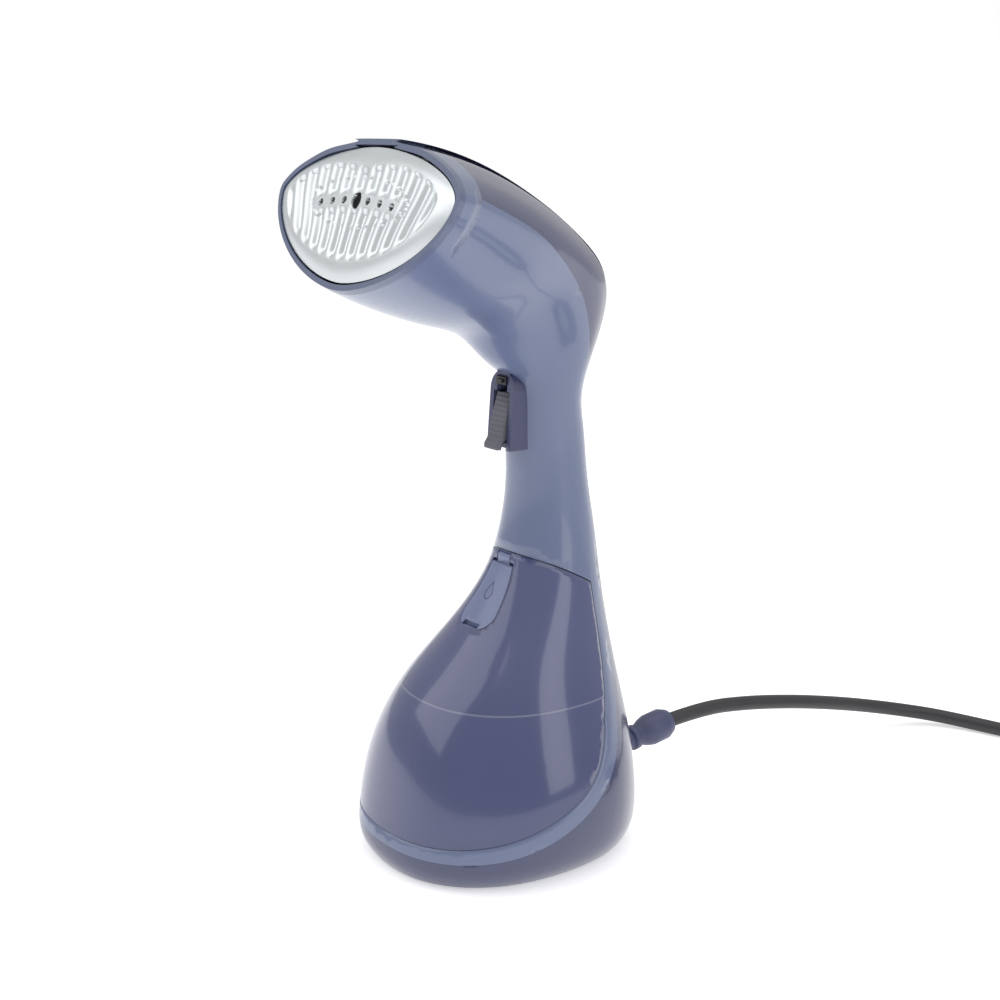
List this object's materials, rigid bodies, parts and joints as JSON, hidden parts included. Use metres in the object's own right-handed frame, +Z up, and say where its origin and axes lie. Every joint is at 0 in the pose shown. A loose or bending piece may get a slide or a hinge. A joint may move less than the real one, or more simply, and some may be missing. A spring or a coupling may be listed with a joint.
{
  "type": "handheld garment steamer",
  "caption": "Handheld garment steamer with a tilted soleplate, trigger, pull-off smoke tank with a filler cap, and a mains cord.",
  "frame": {"origin": "on the standing surface, under the middle of the base, at the foot ring's underside", "axes": "+Z up, the soleplate faces -Y and tilts up by 19.8 degrees, the cord leaves towards +Y; +X is the steamer's left side as its user holds it out"},
  "size_m": [0.2412, 0.3664, 0.2816],
  "materials": {
    "periwinkle_gloss": "smooth, high gloss",
    "violet_gloss": "smooth, high gloss",
    "violet_satin": "satin",
    "bezel_satin": "satin",
    "grey_grip": "fine texture",
    "steel": "plain",
    "black_plastic": "matt",
    "plate_silver": "fine satin",
    "cast_alloy": "as cast",
    "black_rubber": "matt",
    "clear_rubber": "satin",
    "tank_smoke": "smoke violet, clear",
    "cap_blue": "satin gloss",
    "white_plastic": "matt",
    "brass": "sintered",
    "copper": "taped winding",
    "board_green": "lacquered",
    "hose_rubber": "satin silicone",
    "relief_violet": "satin",
    "cord_black": "satin",
    "plug_black": "satin",
    "brass_pins": "nickelled"
  },
  "bodies": {
    "housing": {"front_housing": "periwinkle_gloss", "rear_cover": "violet_gloss", "head_collar": "violet_gloss", "bezel": "bezel_satin", "trigger_frame": "violet_satin", "trigger_pin": "steel", "trigger_spring": "steel", "trigger_switch": "black_plastic", "soleplate": "plate_silver", "plate_gasket": "black_rubber", "steam_chamber": "cast_alloy", "chamber_cover": "cast_alloy", "heating_element": "steel", "plate_screws": "steel", "thermostat": "steel", "thermal_fuse": "steel", "valve_seat": "white_plastic", "seat_seal": "black_rubber", "base_plate": "violet_satin", "foot_ring": "black_rubber", "base_screws": "steel", "pump_body": "black_plastic", "pump_coil": "copper", "pump_mounts": "black_rubber", "control_board": "board_green", "board_parts": "black_plastic", "inlet_hose": "hose_rubber", "steam_hose": "hose_rubber", "tank_catches": "steel", "cord_clamp": "black_plastic", "clamp_screws": "steel", "housing_screws": "steel", "strain_relief": "relief_violet", "cord_lead": "cord_black", "cord_coil": "cord_black", "cord_tie": "black_rubber", "cord_tail": "cord_black", "plug_body": "plug_black", "plug_pins": "brass_pins"},
    "trigger": {"trigger": "grey_grip"},
    "lock_slider": {"lock_slider": "black_plastic"},
    "tank": {"tank_upper": "tank_smoke", "tank_lower": "tank_smoke", "tank_valve": "white_plastic", "valve_spring": "steel", "pickup_tube": "hose_rubber", "strainer": "brass", "cap_pin": "steel"},
    "filler_cap": {"filler_cap": "cap_blue", "cap_seal": "clear_rubber"},
    "valve_poppet": {"valve_poppet": "white_plastic"},
    "pump_plunger": {"pump_plunger": "steel"}
  },
  "joints": [
    {"name": "trigger_press", "type": "hinge", "parent": "housing", "child": "trigger", "pos_m": [0, 0.0052, 0.1828], "axis": [1, 0, 0], "range_deg": [0, 8], "stiffness_Nm_per_rad": 0.12, "deforming": ["trigger_spring"]},
    {"name": "lock_slide", "type": "slide", "parent": "housing", "child": "lock_slider", "axis": [0, 0, -1], "range_m": [0, 0.0028]},
    {"name": "tank_pull", "type": "slide", "parent": "housing", "child": "tank", "axis": [0, -1, 0], "range_m": [0, 0.08]},
    {"name": "cap_hinge", "type": "hinge", "parent": "tank", "child": "filler_cap", "pos_m": [0, 0.004, 0.1186], "axis": [-1, 0, 0], "range_deg": [0, 75]},
    {"name": "valve_lift", "type": "slide", "parent": "tank", "child": "valve_poppet", "axis": [0, -1, 0], "range_m": [0, 0.0018], "stiffness_N_per_m": 60, "deforming": ["valve_spring"]},
    {"name": "plunger_stroke", "type": "slide", "parent": "housing", "child": "pump_plunger", "axis": [1, 0, 0], "range_m": [-0.0015, 0.0015], "stiffness_N_per_m": 150}
  ]
}
